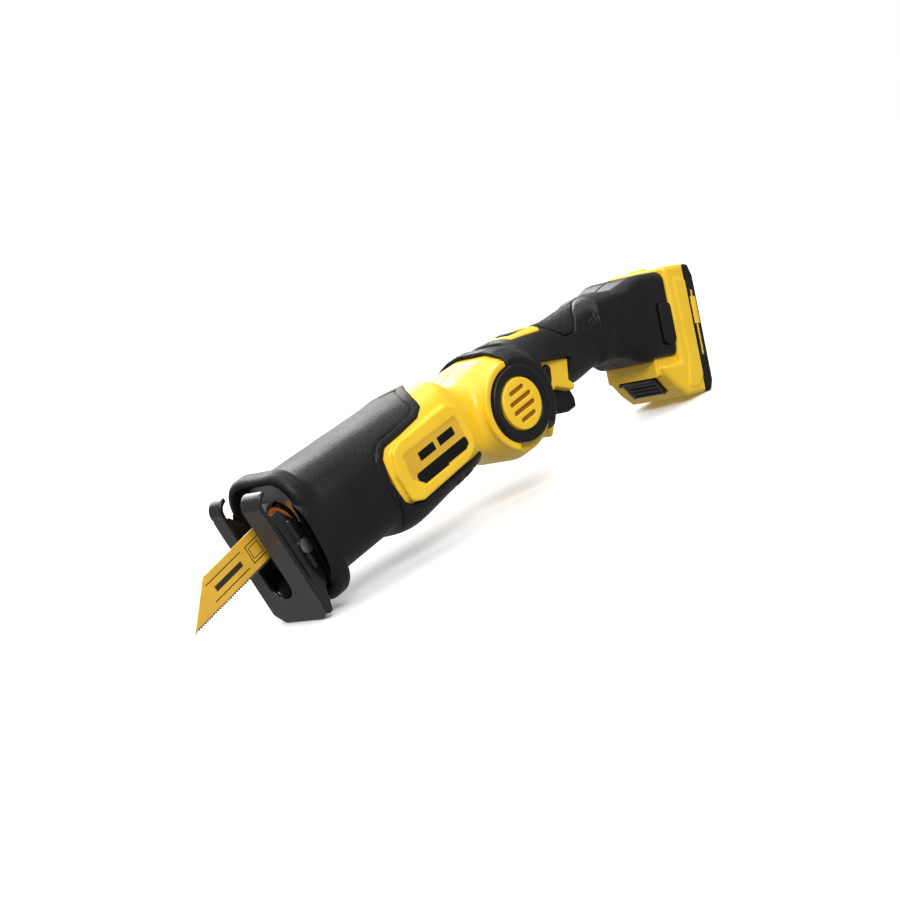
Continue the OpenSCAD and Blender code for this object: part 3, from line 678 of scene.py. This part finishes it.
def shoe(x, y, z):
    s, h = SHOE(x, z)
    front = rect(y, h - 6, 21, 34, 4.5)
    slot = np.minimum(rect(y - 2.5, h - 30, 8.5, 35, 0.1), np.hypot(y - 2.5, h + 5) - 8.5)
    cut = smax(front, -slot, 0.8)
    for side in (-1, 1):
        bevel = (side * y * 0.7071 - (h + 30) * 0.7071) - (22 * 0.7071 - 6)
        cut = smax(cut, bevel, 1.0)
    plate = corner(cut, np.abs(s + 1.25) - 1.25, 0.8)
    wall_shape = poly(s, h, [(-1.5, -26), (2, -26), (6, -15), (14, -6), (16, 18), (6, 34), (-1.5, 34)], 1.5)
    walls = corner(wall_shape, np.abs(np.abs(y) - 19.75) - 1.25, 0.7)
    f = smin(plate, walls, 1.6)
    r = np.hypot(s - 5, h - 39)
    curl = corner(np.abs(r - 6.15) - 1.2, np.abs(y) - 21, 0.7)
    curl = np.maximum(curl, np.where((s > 5.0) | (h < 38), 9.0, -9.0))
    tips = np.maximum(-(rect(y - 2.5, 0 * y, 8.6, 99)), curl)
    f = np.minimum(f, tips)
    ridge = poly(s, h, [(7.0, 27), (10.2, 24), (9.2, -3), (7.2, -3)], 0.9)
    f = smin(f, corner(ridge, np.abs(np.abs(y) - 20.9) - 0.9, 0.7), 0.7)
    ps, ph = SHOE(SHOE_PIN.x, SHOE_PIN.z)
    pin = np.hypot(s - ps, h - ph)
    dimple = np.hypot(s - 9.5, h + 16) - 1.5
    f = smax(f, -np.maximum(dimple, 20.4 - np.abs(y)), 0.5)
    return np.maximum(f, -(pin - 2.6))


# front faces of the shoe take the paler grey, a painted reflection
def shoe_reflection_paint(x, y, z):
    return np.where(SHOE(x, z)[0] < -2.3, 1, 0)


piece("shoe_skin", shoe, (-182, -22.5, -33), (-150, 22.5, 50), 0.55, "shoe", [GLOSS, SHOE_FACE_REFLECTION],
      ["shoe"], shoe_reflection_paint)

# ---------------------------------------------------------------- handle
SHROUD_R, EAR_IN, EAR_OUT = 34.5, 27.8, 33.0
SHROUD_OUT = [(0, 34.5), (14, 34.5), (22, 32.6), (28, 29.5), (31.5, 26)]
FOOT_REAR = 139.8
grip_top = profile([(18, 29.2), (27, 28.0), (44, 25.0), (58, 21.9), (71, 18.6), (90, 17.4), (108, 15.8),
                    (126, 12.5)], 3)
grip_low = profile([(18, 2), (27, -3), (45, -10), (56, -17), (62, -20.0), (70, -20.6), (84, -20.2), (95, -19.4),
                    (108, -19.5)], 2.5)
grip_half = profile([(18, 26), (27, 25), (36, 22.6), (46, 20.0), (60, 18.4), (74, 17.2), (88, 18.0), (98, 18.4),
                     (110, 18.6)], 3)
neck_top = profile([(84, 48.5), (97, 49.0), (106, 53.0), (114, 56.6), (122, 58), (150, 58)], 2.5)
neck_low = profile([(84, 13), (100, 12.5), (108, 11.5), (113, 8.0), (117, 7.0), (150, 7)], 1.6)
neck_half = profile([(84, 16.2), (98, 16.2), (107, 19.0), (115, 22.0), (122, 23.5), (150, 23.5)], 2.2)
PLATE = [(30, 10.8), (39.6, 6.9), (60.6, -1.7), (54.3, -12.5), (57.0, -16.8), (54.5, -19.2), (42.8, -11),
         (37.5, -13), (30, -13)]


def switch_area(x, z):
    """Side outline of the yellow plate round the trigger, with its tail round the hub."""
    r, a = np.hypot(x, z), angle(x, z)
    tail = np.maximum(np.abs(r - 37.6) - 2.9, np.maximum(a + 16, -a - 53) * 0.6)
    f = smin(poly(x, z, PLATE, 1.0), tail, 1.5)
    return np.maximum(f, SHROUD_R + 0.35 - r)


def handle_form(x, y, z):
    p, u = PACK(x, z)
    grip = loft(x, y, z, grip_top, grip_low, grip_half, 2.35)
    grip = corner(grip, np.maximum(24 - x, x - 112), 2)
    top, low = neck_top(p), neck_low(p)
    foot = corner(np.abs(y) - neck_half(p), np.abs(u - (top + low) / 2) - (top - low) / 2, 6.5)
    foot = corner(foot, np.maximum(88 - p, p - FOOT_REAR), 1.6)
    f = smin(grip, foot, 6.0)
    r = np.hypot(x, z)
    wedge = sector(x, z, -52, 82)
    thin = np.clip((angle(x, z) - 45) / 37, 0, 1) * 2.4
    shroud = corner((r - round_by(y, SHROUD_OUT) + thin) * 0.88, np.abs(y) - 31.5, 0.9)
    f = smin(f, corner(shroud, wedge, 0.8), 2.0)
    bore = corner((r - round_by(y, [(0, 30.2), (17.2, 30.2), (27.8, 26.3)])) * 0.92, np.abs(y) - EAR_IN, 0.3)
    f = np.maximum(f, -bore)
    dish = np.clip((19.5 - r) * 0.22, 0, 1.2)
    ring = corner(r - EAR_R, np.maximum(np.abs(y) - EAR_OUT + dish, EAR_IN - np.abs(y)), 1.1)
    f = smin(f, ring, 0.6)
    return np.maximum(f, 15.0 - r)


PAD = [(60, 60), (58.5, 24), (65, 9.5), (74, 8.5), (80, 16), (86, 24), (97, 33), (104, 60)]


def pad_area(x, y, z):
    t = z + np.clip(17 - np.abs(y), 0, 30)
    return poly(x, t, PAD, 2.5)


RIB_AT = (88.5, -1.0)


def ribs(x, y, z, f):
    """Fine contour ribs on the palm swell."""
    c, s = math.cos(0.36), math.sin(0.36)
    a, b = (x - RIB_AT[0]) * c - (z - RIB_AT[1]) * s, (x - RIB_AT[0]) * s + (z - RIB_AT[1]) * c
    d = np.hypot(a / 0.8, b) - 11.5
    wave = 0.5 * (0.5 + 0.5 * np.cos(a * 2 * math.pi / 2.3))
    mask = np.clip(-d / 2.0, 0, 1) * (np.abs(y) > 8)
    return f + wave * mask


def handle_solid(x, y, z):
    p, u = PACK(x, z)
    f = handle_form(x, y, z)
    pad = pad_area(x, y, z)
    f = groove(f, pad, 1.0, 0.6)
    f = ribs(x, y, z, f)
    a, b = SLIDER(x, z)
    f = np.maximum(f, -np.maximum(switch_area(x, z) - 0.15, -99))
    f = np.maximum(f, -np.maximum(np.maximum(np.abs(a) - 12.7, np.abs(y) - 12.2), -2.0 - b))
    f = np.maximum(f, -np.maximum(np.maximum(np.abs(x - 51) - 15, np.abs(y) - 12.5), np.abs(z + 0.75) - 11.25))
    f = np.maximum(f, -np.maximum(np.maximum(np.abs(x - 54.75) - 11.75, np.abs(y) - 8.6), np.abs(z + 20) - 20))
    core = corner(np.maximum(rect(y, z + 1, 13, 14, 8), np.abs(x - 80) - 20), np.abs(y) - 15, 1)
    f = np.maximum(f, -core)
    well = np.maximum(rect(y, u - 32.5, 12.5, 13, 1), np.maximum(86 - p, p - 123))
    f = np.maximum(f, -well)
    cup = np.maximum(rect(y, u - 26.75, 20.5, 27.75, 2), np.maximum(122 - p, p - 151))
    return np.maximum(f, -cup)


def handle(side):
    def f(x, y, z):
        p, u = PACK(x, z)
        v = handle_solid(x, y, z)
        v = np.maximum(v, -(np.maximum(pad_area(x, y, z) + 0.5, -(handle_form(x, y, z) + 1.4))))
        bump_well = rect(p - 134.5, u - 27.5, 5.3, 12.3, 3)
        v = smax(v, -np.maximum(bump_well, 23.0 - np.abs(y)), 0.3)
        if side > 0:
            for at in ((70, 13), (41, 14), (88, -14.5)):
                v = np.maximum(v, -np.maximum(np.hypot(x - at[0], z - at[1]) - 3.2, 9 - y))
            v = np.maximum(v, -np.maximum(np.hypot(p - 115, u - 50.5) - 3.2, 14 - y))
        return corner(v, -side * y + 0.04, 0.3)
    return f


for side, name in ((-1, "left"), (1, "right")):
    lo, hi = ((-6, -34, -38), (165, 0.8, 37)) if side < 0 else ((-6, -0.8, -38), (165, 34, 37))
    lo = (-27, lo[1], -58)
    piece(f"{name}_handle_skin", handle(side), lo, hi, 0.8, "handle", BLACK, [f"{name}_handle"])


def grip_pad(x, y, z):
    f = handle_form(x, y, z)
    pad = pad_area(x, y, z) + 0.62
    f = corner(f, pad, 0.5)
    return np.maximum(f, -(handle_form(x, y, z) + 1.35))


piece("grip_inlay", grip_pad, (55, -20, -2), (112, 20, 24), 0.7, "handle", GRIP, ["grip_pad"])


def bumper(x, y, z):
    p, u = PACK(x, z)
    d = rect(p - 134.5, u - 27.5, 5, 12, 3)
    return corner(d, np.abs(np.abs(y) - 24.0) - 0.95, 0.6)


piece("foot_bumper_pads", bumper, (120, -26, -35), (155, 26, 5), 0.55, "handle", RUBBER,
      ["foot_bumpers"])


def lock_off(x, y, z, grow=0.0):
    c, s = math.cos(math.radians(27)), math.sin(math.radians(27))
    a, b = (x - 40.4) * c - (z + 2.2) * s, (x - 40.4) * s + (z + 2.2) * c
    return np.hypot(a, np.maximum(np.abs(b) - 3.0, 0)) - 2.5 - grow


def switch_plate(x, y, z):
    f = corner(switch_area(x, z), np.abs(y) - 16, 1.2)
    f = np.maximum(f, -np.maximum(np.maximum(39.5 - x, np.abs(y) - 8.6), z - 12))
    return smax(f, -lock_off(x, y, z, 0.35), 0.5)


piece("switch_surround", switch_plate, (18, -17, -43), (63, 17, 13), 0.6, "handle", YELLOW,
      ["switch_plate"])


def lock_button(x, y, z):
    f = corner(lock_off(x, y, z), np.abs(y) - 17.4, 1.0)
    return f


piece("lock_off_bar", lock_button, (34, -19, -9), (47, 19, 5), 0.5, "lock_off", BLACK,
      ["lock_off_button"])


def trigger(x, y, z):
    side = poly(x, z, [(46.5, -11), (58, -15), (60, -22), (60.4, -26), (58.6, -31), (52, -30.8), (46, -28.6),
                       (41, -23.5), (44, -16)], 1.8)
    finger = np.hypot(x - 31.6, z + 29.5) - 11.5
    side = smax(side, -finger, 2.0)
    f = corner(side, np.abs(y) - 8, 2.2)
    p, u = PACK(x - 50.5, z + 19)
    return np.maximum(f, -np.maximum(np.hypot(p, y) - 3.6, -u))


piece("trigger_lever", trigger, (38, -9.5, -34), (63, 9.5, -9), 0.5, "trigger", BLACK,
      ["trigger"])


def bezel(x, y, z):
    a, b = SLIDER(x, z)
    f = handle_form(x, y, z) - 0.4
    frame_shape = rect(a, y, 12.4, 11.9, 3.0)
    f = corner(f, frame_shape, 0.8)
    f = np.maximum(f, -2.0 - b)
    inner = rect(a, y, 8.0, 6.0, 1.2)
    return smax(f, -inner, 0.6)


piece("lock_surround", bezel, (29, -13, 12), (60, 13, 32), 0.5, "handle", YELLOW,
      ["lock_bezel"])


def slider(x, y, z):
    a, b = SLIDER(x, z)
    wave = 0.45 * np.clip(np.cos((a + 3.5) * 2 * math.pi / 2.1), -0.6, 1)
    top = b - (1.3 + wave * (np.abs(y) < 4.6))
    plate = corner(rect(a + 3.6, y, 4.0, 5.5, 1.0), np.maximum(top, -5.0 - b), 0.35)
    pawl = corner(rect(a + 12.3, y, 12.7, 3.0, 0.4), np.abs(b + 6.85) - 1.95, 0.3)
    rod = corner(np.hypot(y, b + 7) - 0.9, np.abs(a - 4.3) - 4.1, 0.2)
    return np.minimum(np.minimum(plate, pawl), rod)


piece("lock_slider_thumb", slider, (16, -7, 12), (56, 7, 33), 0.45, "lock_slider", BLACK,
      ["lock_slider"])

# ---------------------------------------------------------------- battery
CAP_P, PACK_REAR, PACK_HALF = 158.0, 164.0, 24.5
SIDE = [(158.2, 60), (140.2, 60), (140.2, 4.5), (124, 4.5), (127, -2), (134, -10), (142, -16), (158.2, -16)]
latch_turn = math.radians(131.2)


def latch_place(p, u):
    """Coordinates on the toe's slanted front: along it, and out of it."""
    dp, du = p - 130.5, u + 6.0
    c, s = math.cos(-latch_turn), math.sin(-latch_turn)
    return dp * c - du * s, dp * s + du * c


def battery(x, y, z):
    p, u = PACK(x, z)
    side = poly(p, u, SIDE, 2.2)
    side = np.maximum(side, p - CAP_P)
    f = corner(side, np.abs(y) - PACK_HALF + 0.6, 3.0)
    facet = corner(poly(p, u, [(147, 53), (156.5, 50), (156.5, -6), (151, -12), (143, -11), (146, 0),
                               (147.5, 8)], 1.5), np.abs(y) - PACK_HALF, 0.7)
    f = smin(f, facet, 1.0)
    seat = np.maximum(rect(y, u - 26, 20, 28, 1.5), np.maximum(122.5 - p, p - 151))
    stem = np.maximum(rect(y, u - 32.5, 12, 12.5, 1.5), np.maximum(96 - p, p - 123))
    f = np.minimum(f, np.minimum(seat, stem))
    nub = corner(rect(p - 154.0, y - 9, 3.4, 5.0, 1.0), u - 61.6, 0.8)
    f = smin(f, np.maximum(nub, 55 - u), 0.8)
    for at in ((133.8, 0), (150.2, 9.6), (150.2, -9.6)):
        cell = corner(np.hypot(p - at[0], y - at[1]) - 9.4, np.abs(u - 28.7) - 24.6, 0.1)
        f = np.maximum(f, -cell)
    a, b = latch_place(p, u)
    f = np.maximum(f, -np.maximum(rect(a, y, 7.9, 13.3, 1.0), np.abs(b - 0.9) - 5.1))
    for off in (-7, 0, 7):
        f = np.maximum(f, -np.maximum(np.abs(y - off) - 0.5, np.maximum(p - 108, np.abs(u - 32.5) - 7.5)))
    return f


piece("battery_shell", battery, (82, -26, -82), (172, 26, 20), 0.75, "battery", YELLOW,
      ["battery_housing"])

STRIP_YELLOW = moulded("strip_yellow", (0.80, 0.50, 0.015), (0.86, 0.56, 0.02), 0.34, 700.0, 0.04, 0.4)


def cap(x, y, z):
    p, u = PACK(x, z)
    side = poly(p, u, [(CAP_P + 0.1, 60), (161.5, 58.8), (PACK_REAR, 52), (PACK_REAR, -10), (161.5, -15.2),
                       (CAP_P + 0.1, -16)], 1.0)
    f = corner(side, np.abs(y) - PACK_HALF, 1.8)
    inner = np.maximum(rect(y, u - 20.5, 20.5, 34.5, 1), p - 160.6)
    f = np.maximum(f, -inner)
    for sy in (-22.2, 22.2):
        for at in (-8, 50):
            hole = np.maximum(np.hypot(y - sy, u - at) - 2.0, 160.4 - p)
            f = np.maximum(f, -hole)
    return f


def strip_paint(x, y, z):
    p, u = PACK(x, z)
    along = (u > 6) & (u < 44) & (np.abs(y) > 21.5)
    stripes = (np.abs(p - 159.6) < 0.5) | ((u > 24) & (u < 40) & (p > 158.4) & (p < 162.0))
    return np.where(along & stripes, 1, 0)


piece("battery_cap_shell", cap, (138, -26, -78), (178, 26, 10), 0.6, "battery",
      [BLACK, STRIP_YELLOW], ["battery_cap"], strip_paint)


def latch(x, y, z):
    p, u = PACK(x, z)
    a, b = latch_place(p, u)
    wave = 1.1 * np.clip(np.cos((a + 5.5) * 2 * math.pi / 3.0), -0.3, 1)
    wave = wave * (np.abs(y) < 11.2) * (a < 4.5)
    hook = np.clip((a - 4.2) * 1.6, 0, 2.2)
    f = corner(rect(a, y, 7.5, 13, 1.2), np.maximum(b - 1.9 - wave - hook, -1.6 - b), 0.35)
    return np.maximum(f, -np.maximum(np.hypot(a, y) - 3.7, b - 0.9))


piece("battery_latch_button", latch, (112, -14.5, -70), (132, 14.5, -38), 0.45, "battery_latch",
      GLOSS, ["battery_latch"])


# ---------------------------------------------------------------- stage, light and camera
def stage():
    size = 1.0
    mesh = bpy.data.meshes.new("floor")
    mesh.from_pydata([(-size, -size, 0), (size, -size, 0), (size, size, 0), (-size, size, 0)], [], [(0, 1, 2, 3)])
    floor = bpy.data.objects.new("floor", mesh)
    bpy.context.scene.collection.objects.link(floor)
    n = Nodes("floor")
    n.put(n.s.inputs["Base Color"], n.mix(n.noise(3.0), (0.90, 0.90, 0.90), (0.93, 0.93, 0.93)))
    n.s.inputs["Roughness"].default_value = 0.95
    n.s.inputs["Specular IOR Level"].default_value = 0.1
    mesh.materials.append(n.m)
    floor.visible_glossy = False
    floor.visible_diffuse = False


def area_light(name, at, aim, size, power, colour=(1, 1, 1)):
    lamp = bpy.data.lights.new(name, "AREA")
    lamp.shape = "RECTANGLE"
    lamp.size, lamp.size_y = size
    lamp.energy, lamp.color = power, colour
    obj = bpy.data.objects.new(name, lamp)
    bpy.context.scene.collection.objects.link(obj)
    obj.location = at
    obj.rotation_mode = "QUATERNION"
    obj.rotation_quaternion = (Vector(aim) - Vector(at)).to_track_quat("-Z", "Y")
    obj.visible_camera = False


def lights():
    world = bpy.data.worlds.new("studio")
    world.use_nodes = True
    tree = world.node_tree
    dim, seen = tree.nodes["Background"], tree.nodes.new("ShaderNodeBackground")
    dim.inputs["Color"].default_value = seen.inputs["Color"].default_value = (1, 1, 1, 1)
    dim.inputs["Strength"].default_value = 0.42
    seen.inputs["Strength"].default_value = 1.0
    ray, mix = tree.nodes.new("ShaderNodeLightPath"), tree.nodes.new("ShaderNodeMixShader")
    tree.links.new(ray.outputs["Is Camera Ray"], mix.inputs["Fac"])
    tree.links.new(dim.outputs["Background"], mix.inputs[1])
    tree.links.new(seen.outputs["Background"], mix.inputs[2])
    tree.links.new(mix.outputs["Shader"], tree.nodes["World Output"].inputs["Surface"])
    bpy.context.scene.world = world
    middle = (0, 0, 0.05)
    area_light("overhead", (0.1, 0.1, 1.7), middle, (2.4, 2.4), 34)
    area_light("back_light", (0.5, 1.5, 0.9), middle, (1.8, 0.7), 26)
    area_light("key_light", (-0.5, -1.1, 1.0), middle, (0.9, 0.6), 19)


def camera():
    azimuth, elevation, roll = (math.radians(a) for a in (-40.04, 15.09, -26.83))
    target, distance = Vector((-33, 0, -6)), 1348.4
    back = Vector((math.sin(azimuth) * math.cos(elevation), -math.cos(azimuth) * math.cos(elevation),
                   math.sin(elevation)))
    right = Vector((0, 0, 1)).cross(back).normalized()
    up = back.cross(right)
    c, s = math.cos(roll), math.sin(roll)
    right, up = c * right + s * up, -s * right + c * up
    data = bpy.data.cameras.new("camera")
    data.lens, data.sensor_width = 100.0, 36.0
    data.clip_start, data.clip_end = 0.05, 50
    cam = bpy.data.objects.new("camera", data)
    bpy.context.scene.collection.objects.link(cam)
    place = Matrix((TURN @ right, TURN @ up, TURN @ back)).transposed().to_4x4()
    place.translation = PIVOT + TURN @ (target + back * distance) * 0.001
    cam.matrix_world = place
    bpy.context.scene.camera = cam


stage()
lights()
camera()
bpy.context.scene.view_settings.view_transform = "Standard"

bpy.context.view_layer.update()
